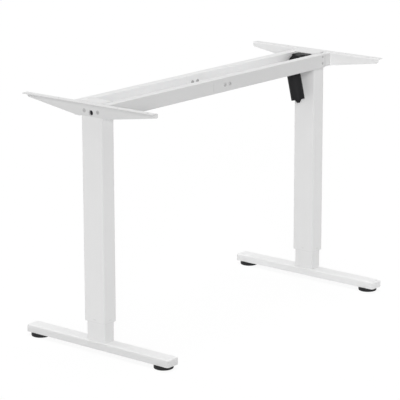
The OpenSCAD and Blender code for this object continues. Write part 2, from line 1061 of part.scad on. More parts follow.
// Section across the worm: one crest faces the wheel
worm_crest_share = 0.1;
worm_foot_share = 0.3;
worm_sides = 24;
worm_slices = 12;

function worm_radius(share) =
    let (
        flank = (abs(share) - worm_crest_share) / (worm_foot_share - worm_crest_share),
        drop = min(max(flank, 0), 1)
    )
    worm_r + worm_tooth - drop * worm_tooth * 2;

function worm_points() = [
    for (start = [0:worm_starts - 1])
        for (step = [0:worm_sides / worm_starts - 1])
            let (
                share = step * worm_starts / worm_sides - half,
                turn = (start + share) * 360 / worm_starts - 90
            )
            [worm_radius(share) * cos(turn), worm_radius(share) * sin(turn)]
];

module half_worm(turns) {
    linear_extrude(worm_half, twist = turns * 360, slices = ceil(abs(turns) * worm_slices))
        polygon(worm_points());
}

module worm_shaft() {
    turns = worm_half / worm_lead;
    low = can_drop + shaft_in_motor;
    color(steel)
        in_worm_frame() {
            half_worm(-turns);
            mirror([0, 0, 1])
                half_worm(turns);
            translate([0, 0, -low])
                cylinder(r = worm_journal_r, h = low + worm_case_top - case_wall);
        }
}

module gear_case() {
    color(black)
        difference() {
            intersection() {
                union() {
                    at_motor() {
                        x_rod(case_r, -case_half, case_half + lid_t);
                        x_rod(neck_r, 0, motor_reach);
                        case_hood();
                        case_foot();
                    }
                    in_worm_frame() {
                        translate([0, 0, -can_drop])
                            cylinder(r = worm_case_r, h = can_drop + worm_case_top);
                        translate([0, 0, -can_drop])
                            cylinder(d = motor_d, h = bell_h);
                    }
                }
                at_motor()
                    translate([-motor_d, -rail_in, -case_r * 3])
                        cube([motor_d * 2, rail_in * 3, case_r * 4]);
                case_back();
            }
            at_motor() {
                x_rod(wheel_room, -case_half, wheel_half + chamber_gap);
                x_rod(lid_r, -case_half - overrun, lid_t - case_half);
                x_rod(hub_r + running_play, -tube_x, tube_x);
                case_foot_holes();
            }
            in_worm_frame()
                translate([0, 0, -can_drop - motor_d])
                    cylinder(r = motor_d * half + slide_play, h = motor_d);
            in_worm_frame()
                translate([0, 0, -can_drop - overrun]) {
                    cylinder(r = worm_room, h = can_drop + overrun + worm_room_top);
                    cylinder(
                        r = worm_journal_r + running_play,
                        h = can_drop + overrun + worm_case_top - case_wall + running_play
                    );
                }
        }
}

// Room between the rails and below them that the case may fill
module case_back() {
    top_y = rail_in - rail_gap * half;
    at_motor() {
        translate([-motor_d, -rail_in, -rail_h])
            cube([motor_d * 2, rail_in + top_y, rail_h * 2]);
        translate([-motor_d, -rail_in, -case_r * 3])
            cube([motor_d * 2, rail_in * 3, case_r * 3 - rail_h * half]);
    }
}

// Block that joins the upper half of the case to its foot, clear of the screws
module case_hood() {
    translate([motor_reach - hood_len, 0, (case_r + hood_low) * half])
        rotate([90, 0, 90])
            bar(hood_y * 2, case_r - hood_low, hood_corner, hood_len);
}

module case_foot() {
    plate_y = bracket_screw_gap + screw_d * 2;
    plate_z = (case_r - case_wall) * 2;
    translate([motor_reach - foot_plate_t, 0, 0])
        rotate([90, 0, 90])
            bar(plate_y, plate_z, screw_d, foot_plate_t);
}

module case_foot_holes() {
    mirrored_y()
        translate([0, bracket_screw_gap * half, screw_rise])
            x_rod(screw_d * half + slot_play, motor_reach - foot_plate_t - overrun, motor_reach + overrun);
}

module gear_case_cover() {
    color(black)
        at_motor()
            difference() {
                x_rod(lid_r, -case_half, lid_t - case_half);
                x_rod(hub_r + running_play, -tube_x, tube_x);
            }
}

module gear_case_screws() {
    head_h = screw_d * 2 / 3;
    tip = motor_reach + tube_wall + slide_play + screw_depth * 4 / 5;
    color(black)
        at_motor()
            mirrored_y()
                translate([0, bracket_screw_gap * half, screw_rise]) {
                    x_rod(screw_d * half, motor_reach - foot_plate_t, tip);
                    x_rod(screw_d * 5 / 6, motor_reach - foot_plate_t - head_h, motor_reach - foot_plate_t);
                }
}

module motor() {
    round = motor_d / 20;
    shaft_room = worm_r;
    color(black)
        in_worm_frame()
            translate([0, 0, -can_drop - motor_len])
                rotate_extrude()
                    polygon([
                        [0, -boss_len],
                        [boss_tip_r - round, -boss_len],
                        [boss_tip_r, round - boss_len],
                        [boss_r, 0],
                        [motor_d * half - round, 0],
                        [motor_d * half, round],
                        [motor_d * half, motor_len],
                        [shaft_room, motor_len],
                        [shaft_room, motor_len - shaft_in_motor - chamber_gap],
                        [0, motor_len - shaft_in_motor - chamber_gap]
                    ]);
}

socket_w = 12;
socket_h = 8;
socket_len = 16;
socket_turn = 50;

module motor_socket() {
    well = 1.5;
    low = -can_drop - socket_len * 2;
    color(black)
        in_worm_frame()
            rotate([0, 0, -socket_turn])
                difference() {
                    translate([-socket_w * half, motor_d * half - well, low])
                        difference() {
                            cube([socket_w, socket_h, socket_len]);
                            translate([well, well * 2, -overrun])
                                cube([socket_w - well * 2, socket_h - well * 3, socket_len * half + overrun]);
                        }
                    translate([0, 0, low - overrun])
                        cylinder(d = motor_d, h = socket_len + overrun * 2);
                }
}

// Nodes

module right_foot() { at_right() foot(); }
module left_foot() { at_left() foot(); }
module right_foot_stiffener() { at_right() foot_stiffener(); }
module left_foot_stiffener() { at_left() foot_stiffener(); }
module right_foot_screws() { at_right() foot_screws(); }
module left_foot_screws() { at_left() foot_screws(); }
module right_tube_plug() { at_right() tube_plug(); }
module left_tube_plug() { at_left() tube_plug(); }
module right_inner_tube() { at_right() inner_tube(); }
module left_inner_tube() { at_left() inner_tube(); }
module right_drive_nut() { at_right() drive_nut(); }
module left_drive_nut() { at_left() drive_nut(); }
module right_slide_pads() { at_right() slide_pads(); }
module left_slide_pads() { at_left() slide_pads(); }
module right_front_glide() { at_right() translate([0, -glide_y, 0]) glide(); }
module right_back_glide() { at_right() translate([0, glide_y, 0]) glide(); }
module left_front_glide() { at_left() translate([0, -glide_y, 0]) glide(); }
module left_back_glide() { at_left() translate([0, glide_y, 0]) glide(); }
module right_outer_tube() { at_right() outer_tube(); }
module left_outer_tube() { at_left() outer_tube(); }
module right_glide_collar() { at_right() glide_collar(); }
module left_glide_collar() { at_left() glide_collar(); }
module right_column_cap() { at_right() column_cap(); }
module left_column_cap() { at_left() column_cap(); }
module right_bracket() { at_right() bracket(); }
module left_bracket() { at_left_mirrored() bracket(); }
module right_bracket_screws() { at_right() bracket_screws(); }
module left_bracket_screws() { at_left_mirrored() bracket_screws(); }
module right_gear_block() { at_right() gear_block(); }
module left_gear_block() { at_left() gear_block(); }
module right_gear_block_lid() { at_right() gear_block_lid(); }
module left_gear_block_lid() { at_left() gear_block_lid(); }
module right_spindle_bearing() { at_right() spindle_bearing(); }
module left_spindle_bearing() { at_left() spindle_bearing(); }
module right_spindle() { at_right() spindle(); }
module left_spindle() { at_left() spindle(); }
module right_spindle_gear() { at_right() spindle_gear(); }
module left_spindle_gear() { at_left() spindle_gear(); }
module right_drive_gear() { at_right() drive_gear(); }
module left_drive_gear() { at_left() drive_gear(); }
module front_outer_rail() { outer_rail(-1); }
module back_outer_rail() { outer_rail(1); }
module front_inner_rail() { inner_rail(-1); }
module back_inner_rail() { inner_rail(1); }
module front_left_rail() { left_rail(-1); }
module back_left_rail() { left_rail(1); }

right_foot();
left_foot();
right_foot_stiffener();
left_foot_stiffener();
right_foot_screws();
left_foot_screws();
right_tube_plug();
left_tube_plug();
right_inner_tube();
left_inner_tube();
right_drive_nut();
left_drive_nut();
right_slide_pads();
left_slide_pads();
right_front_glide();
right_back_glide();
left_front_glide();
left_back_glide();
right_outer_tube();
left_outer_tube();
right_glide_collar();
left_glide_collar();
right_column_cap();
left_column_cap();
right_bracket();
left_bracket();
right_bracket_screws();
left_bracket_screws();
right_gear_block();
left_gear_block();
right_gear_block_lid();
left_gear_block_lid();
right_spindle_bearing();
left_spindle_bearing();
right_spindle();
left_spindle();
right_spindle_gear();
left_spindle_gear();
right_drive_gear();
left_drive_gear();
front_outer_rail();
back_outer_rail();
front_inner_rail();
back_inner_rail();
front_left_rail();
back_left_rail();
rail_stubs();
rail_shoes();
stub_screws();
lock_bolts();
lock_nuts();
drive_shaft();
drive_tube();
drive_tube_collar();
worm_wheel();
worm_shaft();
gear_case();
gear_case_cover();
gear_case_screws();
motor();
motor_socket();
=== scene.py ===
"""Looks of the standing desk frame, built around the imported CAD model.

Metres, in the CAD's own frame: +X towards the motor column, +Y to the back, +Z up.
"""

import json
import math

import bmesh
import bpy
from mathutils import Matrix, Vector


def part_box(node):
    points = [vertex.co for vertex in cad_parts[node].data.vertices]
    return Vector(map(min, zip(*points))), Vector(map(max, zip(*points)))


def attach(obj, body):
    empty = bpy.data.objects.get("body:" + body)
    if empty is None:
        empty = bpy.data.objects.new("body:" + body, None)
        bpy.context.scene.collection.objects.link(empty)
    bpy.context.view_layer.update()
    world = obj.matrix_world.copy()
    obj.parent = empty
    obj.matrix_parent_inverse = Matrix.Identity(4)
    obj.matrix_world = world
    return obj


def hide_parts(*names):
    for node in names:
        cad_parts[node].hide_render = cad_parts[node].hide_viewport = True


MM = 0.001

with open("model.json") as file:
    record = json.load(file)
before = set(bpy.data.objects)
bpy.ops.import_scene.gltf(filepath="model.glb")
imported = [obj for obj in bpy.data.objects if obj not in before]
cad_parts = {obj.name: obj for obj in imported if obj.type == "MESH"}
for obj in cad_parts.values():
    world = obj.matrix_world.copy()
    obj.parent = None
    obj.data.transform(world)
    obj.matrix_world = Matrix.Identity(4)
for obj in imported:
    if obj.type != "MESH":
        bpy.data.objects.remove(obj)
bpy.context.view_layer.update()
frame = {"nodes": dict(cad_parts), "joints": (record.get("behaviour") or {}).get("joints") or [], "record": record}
scene = bpy.context.scene

# Camera, fitted to the photograph's edges
CAMERA_AT = Vector((-4.8274, -3.9497, 1.9269))
CAMERA_YAW = math.radians(39.5548)
CAMERA_PITCH = math.radians(14.2064)
CAMERA_ROLL = math.radians(-0.1376)
CAMERA_LENS = 194.15
SENSOR = 36.0
FAR = 100.0


def make_camera():
    look = Vector((
        math.cos(CAMERA_YAW) * math.cos(CAMERA_PITCH),
        math.sin(CAMERA_YAW) * math.cos(CAMERA_PITCH),
        -math.sin(CAMERA_PITCH),
    ))
    level = Vector((math.sin(CAMERA_YAW), -math.cos(CAMERA_YAW), 0.0))
    upright = level.cross(look)
    right = level * math.cos(CAMERA_ROLL) + upright * math.sin(CAMERA_ROLL)
    up = upright * math.cos(CAMERA_ROLL) - level * math.sin(CAMERA_ROLL)
    data = bpy.data.cameras.new("camera")
    data.lens = CAMERA_LENS
    data.sensor_width = SENSOR
    data.clip_end = FAR
    camera = bpy.data.objects.new("camera", data)
    turn = Matrix((right, up, -look)).transposed().to_4x4()
    camera.matrix_world = Matrix.Translation(CAMERA_AT) @ turn
    scene.collection.objects.link(camera)
    scene.camera = camera


# Studio

SKY = 0.302
FLOOR_ALBEDO = 0.88
FLOOR_GLOW = 0.91
FLOOR_SHADE = 0.10
FLOOR_REACH = 14.0
WHITE = (1.0, 1.0, 1.0, 1.0)
# Direction, strength and spread in degrees; the fill comes from the camera's side
LAMPS = {
    "fill": ((0.75, 0.62, -0.25), 1.6, 20.0),
    "back": ((-0.15, -0.98, -0.12), 0.75, 20.0),
    "side": ((-0.98, -0.15, -0.12), 0.75, 20.0),
    "top": ((0.0, 0.0, -1.0), 1.38, 40.0),
}


def grey(value):
    return (value, value, value)


def node_tree(owner):
    owner.use_nodes = True
    owner.node_tree.nodes.clear()
    return owner.node_tree.nodes, owner.node_tree.links


def seen_rays(nodes, links):
    """1 for the rays that look at a background: from the camera, a reflection or through glass."""
    path = nodes.new("ShaderNodeLightPath")
    first = nodes.new("ShaderNodeMath")
    first.operation = "MAXIMUM"
    links.new(path.outputs["Is Camera Ray"], first.inputs[0])
    links.new(path.outputs["Is Glossy Ray"], first.inputs[1])
    second = nodes.new("ShaderNodeMath")
    second.operation = "MAXIMUM"
    links.new(first.outputs[0], second.inputs[0])
    links.new(path.outputs["Is Transmission Ray"], second.inputs[1])
    return second.outputs[0]


def make_world():
    world = bpy.data.worlds.new("studio")
    scene.world = world
    nodes, links = node_tree(world)
    lit = nodes.new("ShaderNodeBackground")
    lit.inputs["Color"].default_value = WHITE
    lit.inputs["Strength"].default_value = SKY
    seen = nodes.new("ShaderNodeBackground")
    seen.inputs["Color"].default_value = WHITE
    seen.inputs["Strength"].default_value = 1.0
    mix = nodes.new("ShaderNodeMixShader")
    links.new(seen_rays(nodes, links), mix.inputs[0])
    links.new(lit.outputs[0], mix.inputs[1])
    links.new(seen.outputs[0], mix.inputs[2])
    out = nodes.new("ShaderNodeOutputWorld")
    links.new(mix.outputs[0], out.inputs["Surface"])


def floor_material():
    """A pale floor that looks white and keeps a faint shadow."""
    material = bpy.data.materials.new("studio_floor")
    nodes, links = node_tree(material)
    plain = nodes.new("ShaderNodeBsdfDiffuse")
    plain.inputs["Color"].default_value = (*grey(FLOOR_ALBEDO), 1.0)
    faint = nodes.new("ShaderNodeBsdfDiffuse")
    faint.inputs["Color"].default_value = (*grey(FLOOR_SHADE), 1.0)
    glow = nodes.new("ShaderNodeEmission")
    glow.inputs["Strength"].default_value = FLOOR_GLOW
    total = nodes.new("ShaderNodeAddShader")
    links.new(faint.outputs[0], total.inputs[0])
    links.new(glow.outputs[0], total.inputs[1])
    mix = nodes.new("ShaderNodeMixShader")
    links.new(seen_rays(nodes, links), mix.inputs[0])
    links.new(plain.outputs[0], mix.inputs[1])
    links.new(total.outputs[0], mix.inputs[2])
    out = nodes.new("ShaderNodeOutputMaterial")
    links.new(mix.outputs[0], out.inputs["Surface"])
    return material


def make_floor():
    mesh = bpy.data.meshes.new("floor")
    corners = [(x * FLOOR_REACH, y * FLOOR_REACH, 0.0) for x, y in ((-1, -1), (1, -1), (1, 1), (-1, 1))]
    mesh.from_pydata(corners, [], [(0, 1, 2, 3)])
    mesh.materials.append(floor_material())
    floor = bpy.data.objects.new("floor", mesh)
    scene.collection.objects.link(floor)


def make_lamp(name, towards, strength, spread):
    data = bpy.data.lights.new(name, "SUN")
    data.energy = strength
    data.angle = math.radians(spread)
    lamp = bpy.data.objects.new(name, data)
    lamp.rotation_mode = "QUATERNION"
    lamp.rotation_quaternion = Vector(towards).to_track_quat("-Z", "Y")
    scene.collection.objects.link(lamp)


# Materials

# Z of the normal from which a face counts as upward and takes the painted top light, and where it fully does
UPWARD_FROM = 0.5
UPWARD_FULL = 0.9
# Painted shade on upright edges: share of the tone that is left where two sides meet, and the product of X and Y
# of the normal there
EDGE_PAINTED_SHADE = 0.87
EDGE_FULL = 0.5
COAT_ROUGH = 0.62
COAT_GLOSS = 0.35
COAT_GRAIN = 900.0
COAT_DEPTH = 0.00004
COAT_PATCHES = 6.0
MOULD_PATCHES = 14.0
METAL_DEPTH = 0.00003
PAINT_SPREAD = 0.015
# Painted light and shade: tone of the white coat on the sides and on the upward faces of single pieces, where it
# isn't the usual one. The real coat has one tone; these lighter and darker tones stand in for how light falls on
# each piece, such as painted shade on the front rails and the stubs and painted light on the back rails.
PAINTED_LIGHT_TONES = {
    "front_outer_rail": (0.665, 0.79), "front_left_rail": (0.665, 0.79),
    "back_outer_rail": (0.92, 0.83), "back_left_rail": (0.92, 0.83),
    "rail_stubs": (0.65, 0.80), "left_foot": (0.71, 0.91), "right_foot": (0.79, 0.91),
    "left_bracket": (0.67, 0.79), "right_bracket": (0.80, 0.80),
}


def shader(name):
    material = bpy.data.materials.new(name)
    nodes, links = node_tree(material)
    out = nodes.new("ShaderNodeOutputMaterial")
    bsdf = nodes.new("ShaderNodeBsdfPrincipled")
    links.new(bsdf.outputs[0], out.inputs["Surface"])
    place = nodes.new("ShaderNodeTexCoord")
    return material, nodes, links, bsdf, place.outputs["Object"]


def noise(nodes, links, place, scale, detail=2.0, roughness=0.5):
    made = nodes.new("ShaderNodeTexNoise")
    made.inputs["Scale"].default_value = scale
    made.inputs["Detail"].default_value = detail
    made.inputs["Roughness"].default_value = roughness
    links.new(place, made.inputs["Vector"])
    return made.outputs["Fac"]


def spread(nodes, links, value, low, high):
    """value from 0 to 1 as low to high."""
    made = nodes.new("ShaderNodeMapRange")
    made.inputs["To Min"].default_value = low
    made.inputs["To Max"].default_value = high
    links.new(value, made.inputs["Value"])
    return made.outputs["Result"]


def tint(nodes, links, value, dark, pale):
    made = nodes.new("ShaderNodeMix")
    made.data_type = "RGBA"
    made.inputs["A"].default_value = (*dark, 1.0)
    made.inputs["B"].default_value = (*pale, 1.0)
    links.new(value, made.inputs["Factor"])
    return made.outputs["Result"]


def bump(nodes, links, bsdf, height, distance, strength=1.0):
    made = nodes.new("ShaderNodeBump")
    made.inputs["Strength"].default_value = strength
    made.inputs["Distance"].default_value = distance
    links.new(height, made.inputs["Height"])
    links.new(made.outputs["Normal"], bsdf.inputs["Normal"])


def painted_shade_on_upright_edges(nodes, links, facing, colour):
    """colour with painted shade, a little darker where a side turns into the next one."""
    both = nodes.new("ShaderNodeMath")
    both.operation = "MULTIPLY"
    links.new(facing.outputs["X"], both.inputs[0])
    links.new(facing.outputs["Y"], both.inputs[1])
    turned = nodes.new("ShaderNodeMath")
    turned.operation = "ABSOLUTE"
    links.new(both.outputs[0], turned.inputs[0])
    share = nodes.new("ShaderNodeMapRange")
    share.inputs["From Max"].default_value = EDGE_FULL
    links.new(turned.outputs[0], share.inputs["Value"])
    edge = nodes.new("ShaderNodeMix")
    edge.data_type = "RGBA"
    edge.blend_type = "MULTIPLY"
    links.new(share.outputs["Result"], edge.inputs["Factor"])
    links.new(colour, edge.inputs["A"])
    edge.inputs["B"].default_value = (*grey(EDGE_PAINTED_SHADE), 1.0)
    return edge.outputs["Result"]


def coated(name, dark, pale, rough, grain, gloss=0.5, upper=None):
    """Powder coat: a fine orange peel over an even colour; upper is the tone of upward faces, painted light that
    makes them lighter than the sides, and with it the upright edges get painted shade.
    """
    material, nodes, links, bsdf, place = shader(name)
    bsdf.inputs["Specular IOR Level"].default_value = gloss
    broad = noise(nodes, links, place, COAT_PATCHES)
    fine = noise(nodes, links, place, grain, 3.0)
    colour = tint(nodes, links, broad, dark, pale)
    # Painted light: upward faces take the lighter tone upper, and upright edges then take painted shade
    if upper:
        facing = nodes.new("ShaderNodeSeparateXYZ")
        links.new(nodes.new("ShaderNodeNewGeometry").outputs["True Normal"], facing.inputs[0])
        level = nodes.new("ShaderNodeMapRange")
        level.inputs["From Min"].default_value = UPWARD_FROM
        level.inputs["From Max"].default_value = UPWARD_FULL
        links.new(facing.outputs["Z"], level.inputs["Value"])
        painted_top_light = nodes.new("ShaderNodeMix")
        painted_top_light.data_type = "RGBA"
        links.new(level.outputs["Result"], painted_top_light.inputs["Factor"])
        links.new(colour, painted_top_light.inputs["A"])
        painted_top_light.inputs["B"].default_value = (*upper, 1.0)
        colour = painted_shade_on_upright_edges(nodes, links, facing, painted_top_light.outputs["Result"])
    links.new(colour, bsdf.inputs["Base Color"])
    links.new(spread(nodes, links, fine, rough - 0.05, rough + 0.05), bsdf.inputs["Roughness"])
    bump(nodes, links, bsdf, fine, COAT_DEPTH)
    return material


def metal(name, dark, pale, rough, stretch):
    """Bare metal with fine tool marks, drawn out along one direction."""
    material, nodes, links, bsdf, place = shader(name)
    drawn = nodes.new("ShaderNodeMapping")
    drawn.inputs["Scale"].default_value = stretch
    links.new(place, drawn.inputs["Vector"])
    marks = noise(nodes, links, drawn.outputs[0], 1.0, 4.0)
    links.new(tint(nodes, links, marks, dark, pale), bsdf.inputs["Base Color"])
    links.new(spread(nodes, links, marks, rough - 0.08, rough + 0.08), bsdf.inputs["Roughness"])
    bsdf.inputs["Metallic"].default_value = 1.0
    bump(nodes, links, bsdf, marks, METAL_DEPTH)
    return material


def moulded(name, dark, pale, rough, grain, depth, gloss=0.5):
    """Moulded plastic with a fine spark-eroded grain."""
    material, nodes, links, bsdf, place = shader(name)
    bsdf.inputs["Specular IOR Level"].default_value = gloss
    broad = noise(nodes, links, place, MOULD_PATCHES)
    fine = noise(nodes, links, place, grain, 2.0)
    links.new(tint(nodes, links, broad, dark, pale), bsdf.inputs["Base Color"])
    links.new(spread(nodes, links, fine, rough - 0.06, rough + 0.06), bsdf.inputs["Roughness"])
    bump(nodes, links, bsdf, fine, depth)
    return material


def white_coat_with_painted_light(node):
    """The white coat of one node with its painted light and shade: its own tones of the sides and of the upward
    faces.
    """
    sides, top = PAINTED_LIGHT_TONES[node]
    dark, pale = grey(sides - PAINT_SPREAD), grey(sides + PAINT_SPREAD)
    return coated(f"powder_white_{node}", dark, pale, COAT_ROUGH, COAT_GRAIN, COAT_GLOSS, grey(top))


# Darkest and palest colour, roughness, scale of the grain, gloss and tone of upward faces; the tone of upward
# faces is painted light, lighter than the sides where light falls from above
COATED = {
    "powder_white": (grey(0.75), grey(0.78), COAT_ROUGH, COAT_GRAIN, COAT_GLOSS, grey(0.80)),
    # Painted shade: near black for the rail liners, in place of the shadow in the gap where the stubs come out
    "seam_grey": (grey(0.07), grey(0.11), 0.6, COAT_GRAIN),
    "white_screws": (grey(0.44), grey(0.50), 0.5, 1400.0),
    "motor_black": ((0.015, 0.015, 0.016), (0.020, 0.020, 0.021), 0.6, 1200.0, 0.07),
    "black_screws": ((0.016, 0.016, 0.017), (0.024, 0.024, 0.025), 0.35, 1800.0, 0.25),
}
# Darkest and palest colour, roughness, scale and depth of the grain, and gloss
MOULDED = {
    "collar_grey": (grey(0.66), grey(0.72), 0.5, 1200.0, 0.00003),
    "case_black": ((0.014, 0.014, 0.015), (0.020, 0.020, 0.021), 0.6, 1500.0, 0.00005, 0.17),
    "slide_nylon": ((0.03, 0.03, 0.032), (0.042, 0.042, 0.044), 0.45, 1500.0, 0.00003),
    "gear_nylon": ((0.03, 0.03, 0.033), (0.042, 0.042, 0.046), 0.42, 1500.0, 0.00003),
    "glide_plastic": ((0.012, 0.012, 0.013), (0.018, 0.018, 0.019), 0.55, 1100.0, 0.00006, 0.2),
}
# Darkest and palest colour, roughness, and how dense the tool marks are along each axis
METAL = {
    "zinc_steel": ((0.50, 0.51, 0.53), (0.62, 0.63, 0.65), 0.36, (60.0, 400.0, 400.0)),
    "machined_steel": ((0.44, 0.44, 0.45), (0.56, 0.56, 0.57), 0.28, (500.0, 500.0, 900.0)),
    "cast_block": ((0.50, 0.50, 0.51), (0.60, 0.60, 0.61), 0.5, (300.0, 300.0, 300.0)),
    "wheel_brass": ((0.66, 0.50, 0.22), (0.76, 0.60, 0.30), 0.3, (300.0, 600.0, 600.0)),
}


def make_materials():
    made = {}
    for kind, table in ((coated, COATED), (moulded, MOULDED), (metal, METAL)):
        for name, facts in table.items():
            made[name] = kind(name, *facts)
    return made


# Shapes

SOCKET_DEPTH = 0.72
MERGE = 1e-7
SAME_SPOT = 1e-6
SHARP = 35.0
AXIS_X = (1.0, 0.0, 0.0)
FORWARD = (0.0, -1.0, 0.0)
BACKWARD = (0.0, 1.0, 0.0)
UPWARD = (0.0, 0.0, 1.0)


def circle(radius):
    """Radius of a round ring at each angle."""
    return lambda angle: radius


def hexagon(across):
    """Radius of a hexagon at each angle."""
    sixth = math.pi / 3
    return lambda angle: across / 2 / math.cos((angle + sixth / 2) % sixth - sixth / 2)


def fluted(radius, count, depth):
    """Radius of a round ring with grip flutes."""
    return lambda angle: radius - depth * max(0.0, math.cos(count * angle)) ** 2


def ring(radius_at, height, steps, twist=0.0):
    """Points of one ring; height is a number or a function of the angle."""
    points = []
    for step in range(steps):
        angle = 2 * math.pi * step / steps + twist
        r = radius_at(angle)
        z = height(angle) if callable(height) else height
        points.append((r * math.cos(angle), r * math.sin(angle), z))
    return points


def skin(rings):
    """Closed shell over rings of the same number of points, with a flat cap on both ends."""
    count = len(rings[0])
    points = [point for one in rings for point in one]
    faces = [tuple(reversed(range(count)))]
    for row in range(len(rings) - 1):
        low = row * count
        for step in range(count):
            after = (step + 1) % count
            faces.append((low + step, low + after, low + after + count, low + step + count))
    faces.append(tuple(range(len(points) - count, len(points))))
    return points, faces


def tunnel(rings):
    """Closed shell round a bore: as skin, but the last ring joins the first and nothing is capped."""
    count = len(rings[0])
    faces = []
    for row in range(len(rings)):
        low, high = row * count, (row + 1) % len(rings) * count
        for step in range(count):
            after = (step + 1) % count
            faces.append((low + step, low + after, high + after, high + step))
    return [point for one in rings for point in one], faces


def lathe(profile, steps=48):
    """Turned shell from (radius, height) pairs in mm, from the lower end to the upper."""
    return skin([ring(circle(r), z, steps) for r, z in profile])


def placed(shell, matrix):
    """The shell, moved by a matrix."""
    points, faces = shell
    return [tuple(matrix @ Vector(point)) for point in points], faces


def joined(shells):
    """Several shells as one."""
    points, faces = [], []
    for shell_points, shell_faces in shells:
        start = len(points)
        points += shell_points
        faces += [tuple(start + index for index in face) for face in shell_faces]
    return points, faces


def make_piece(name, shell, body, slot, replaced=(), sharp=SHARP):
    """A piece from a shell in mm, smooth but for the edges sharper than an angle."""
    mesh = bpy.data.meshes.new(name)
    mesh.from_pydata([tuple(c * MM for c in point) for point in shell[0]], [], shell[1])
    work = bmesh.new()
    work.from_mesh(mesh)
    bmesh.ops.remove_doubles(work, verts=work.verts, dist=MERGE)
    bmesh.ops.recalc_face_normals(work, faces=work.faces)
    work.to_mesh(mesh)
    work.free()
    mesh.shade_smooth()
    mesh.set_sharp_from_angle(angle=math.radians(sharp))
    mesh.materials.append(materials[slot])
    made = bpy.data.objects.new(name, mesh)
    scene.collection.objects.link(made)
    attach(made, body)
    if replaced:
        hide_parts(*replaced)
    return made


def along(at, direction):
    """Matrix in mm that stands +Z of a shape at a place along a direction."""
    turn = Vector(UPWARD).rotation_difference(Vector(direction))
    return Matrix.Translation(Vector(at)) @ turn.to_matrix().to_4x4()


def threaded(radius, low, high, pitch, depth, steps=24, rows=6):
    """Rod with a helical thread from low to high."""
    def height_ring(z):
        def radius_at(angle):
            share = (z / pitch - angle / (2 * math.pi)) % 1.0
            return radius - depth * abs(share * 2 - 1)
        return ring(radius_at, z, steps)
    count = max(2, round((high - low) / pitch * rows))
    return skin([height_ring(low + (high - low) * row / count) for row in range(count + 1)])


def socket_head(radius, height, across, steps=36):
    """Button head with a hexagonal socket, its seat at height zero."""
    well = height * SOCKET_DEPTH
    return skin([
        ring(circle(radius), 0.0, steps),
        ring(circle(radius), height * 0.55, steps),
        ring(circle(radius * 0.93), height * 0.85, steps),
        ring(circle(radius * 0.8), height, steps),
        ring(hexagon(across * 1.12), height, steps),
        ring(hexagon(across), height - 0.15, steps),
        ring(hexagon(across), height - well, steps),
        ring(hexagon(across * 0.2), height - well - 0.2, steps),
    ])


def node_box(node):
    """Lowest and highest corner of a node in mm."""
    low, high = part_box(node)
    return [c / MM for c in low], [c / MM for c in high]


# Levelling glides: a fluted disc, a hexagon for the spanner and a threaded stem

GLIDE_FLUTES = 60
GLIDE_RIM = 2.2
GLIDE_STEPS = 240
GLIDE_GAP = 0.3
FLUTE_DEPTH = 0.55
FLUTE_RUNOUT = 0.1
STEM_R = 4.0
STEM_PITCH = 1.25
STEM_THREAD = 0.35
HEX_AF = 13.0
HEX_H = 3.4
HEX_STEPS = 48


def glide_disc(radius, height):
    """The disc from its recessed underside over the fluted rim to the hollow round its middle."""
    shallow = fluted(radius, GLIDE_FLUTES, FLUTE_RUNOUT)
    deep = fluted(radius, GLIDE_FLUTES, FLUTE_DEPTH)
    rows = [
        (circle(radius * 0.3), 1.4), (circle(radius * 0.52), 1.4), (circle(radius * 0.55), 0.0),
        (circle(radius - GLIDE_RIM), 0.0), (circle(radius - GLIDE_RIM * 0.35), GLIDE_RIM * 0.35),
        (shallow, GLIDE_RIM), (deep, GLIDE_RIM + 0.7), (deep, height - 2.3), (shallow, height - 1.6),
        (circle(radius), height - 1.2), (circle(radius - 0.3), height - 0.45),
        (circle(radius - 1.1), height), (circle(radius * 0.84), height),
        (circle(radius * 0.82), height - 0.6), (circle(radius * 0.42), height - 0.6),
        (circle(radius * 0.39), height), (circle(HEX_AF * 0.62), height), (circle(HEX_AF * 0.5), height),
    ]
    return skin([ring(shape, z, GLIDE_STEPS) for shape, z in rows])


def glide_hexagon(low):
    """The hexagon for the spanner, chamfered at its top."""
    top = low + HEX_H
    rows = [
        (hexagon(HEX_AF), low), (hexagon(HEX_AF), top - 0.6),
        (circle(HEX_AF * 0.5), top), (circle(STEM_R * 0.6), top),
    ]
    return skin([ring(shape, z, HEX_STEPS) for shape, z in rows])


def make_glides():
    for side in ("right", "left"):
        for end in ("front", "back"):
            node = f"{side}_{end}_glide"
            low, high = node_box(node)
            foot_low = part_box(f"{side}_foot")[0][2] / MM
            disc_h = foot_low - GLIDE_GAP
            radius = (high[0] - low[0]) / 2
            middle = ((low[0] + high[0]) / 2, (low[1] + high[1]) / 2, low[2])
            shell = joined([
                glide_disc(radius, disc_h),
                glide_hexagon(disc_h - 0.1),
                threaded(STEM_R, disc_h + HEX_H - 0.3, high[2], STEM_PITCH, STEM_THREAD),
            ])
            shell = placed(shell, Matrix.Translation(middle))
            make_piece(f"{node}_turned", shell, f"{node}_set", "glide_plastic", (node,))


# Motor: a can with rolled grooves and a crimped rim, its end plate with two screws, and its end boss

# Height of the can's upper end along the worm's axis, from the joint's origin
CAN_TOP = -24.9
CAN_LEN = 84.9
CAN_R = 21.1
CAN_STEPS = 96
BOSS_LEN = 10.8
CRIMPS = 8
CRIMP_FROM = 0.9
GROOVE = 0.4
PLATE_SCREW_R = 14.8
PLATE_SCREW_TURNS = (35.0, 215.0)


def worm_matrix():
    joint = joints["worm_turn"]
    return along([c / MM for c in joint["pos_m"]], joint["axis"])


def crimped(low, notch):
    """Height of the rim's edge: low, but for notches of a few degrees."""
    return lambda angle: low + notch * (math.cos(CRIMPS * angle) > CRIMP_FROM)


